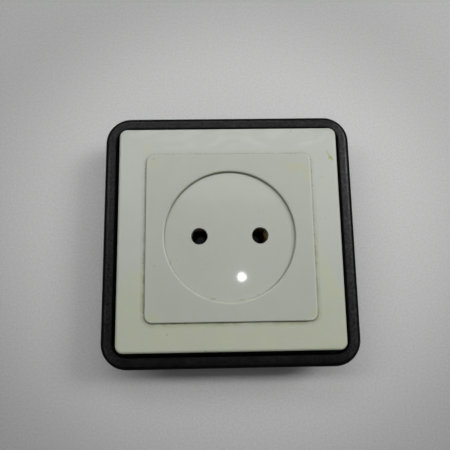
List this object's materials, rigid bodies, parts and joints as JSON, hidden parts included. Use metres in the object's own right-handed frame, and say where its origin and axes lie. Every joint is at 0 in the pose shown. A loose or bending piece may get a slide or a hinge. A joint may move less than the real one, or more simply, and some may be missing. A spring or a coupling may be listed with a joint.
{
  "type": "surface-mounted socket",
  "caption": "Square surface-mounted power socket without earth: black surround and box, ivory cover, centre plate with a shallow round recess and pin holes.",
  "frame": {"origin": "centre of the flat back that meets the wall", "axes": "+Z out of the wall towards the user, +Y up on the wall, +X to the user's right"},
  "size_m": [0.082, 0.082, 0.0238],
  "materials": {
    "black_moulding": "satin moulded black, slightly worn",
    "ivory_frame": "aged ivory moulding, yellowed at the foot",
    "ivory_plate": "aged ivory moulding, greyer than the frame",
    "plated_steel": "zinc plated",
    "steatite": "unglazed fired insulator",
    "brown_insulator": "pressed phenolic sheet",
    "contact_brass": "dull brass",
    "screw_steel": "plated screws"
  },
  "bodies": {
    "root": {"back_box": "black_moulding", "body_rivet_left_lower": "contact_brass", "body_rivet_left_upper": "contact_brass", "body_rivet_right_lower": "contact_brass", "body_rivet_right_upper": "contact_brass", "centre_plate": "ivory_plate", "contact_cover": "brown_insulator", "contact_cover_screw": "screw_steel", "contact_left": "contact_brass", "contact_right": "contact_brass", "contact_spring_left": "plated_steel", "contact_spring_right": "plated_steel", "cover_frame": "ivory_frame", "socket_body": "steatite", "strap_screw_left": "screw_steel", "strap_screw_right": "screw_steel", "support_strap": "plated_steel", "surround_ring": "black_moulding", "terminal_block_left": "contact_brass", "terminal_block_right": "contact_brass", "terminal_screw_left_inner": "screw_steel", "terminal_screw_left_outer": "screw_steel", "terminal_screw_right_inner": "screw_steel", "terminal_screw_right_outer": "screw_steel"}
  },
  "joints": []
}
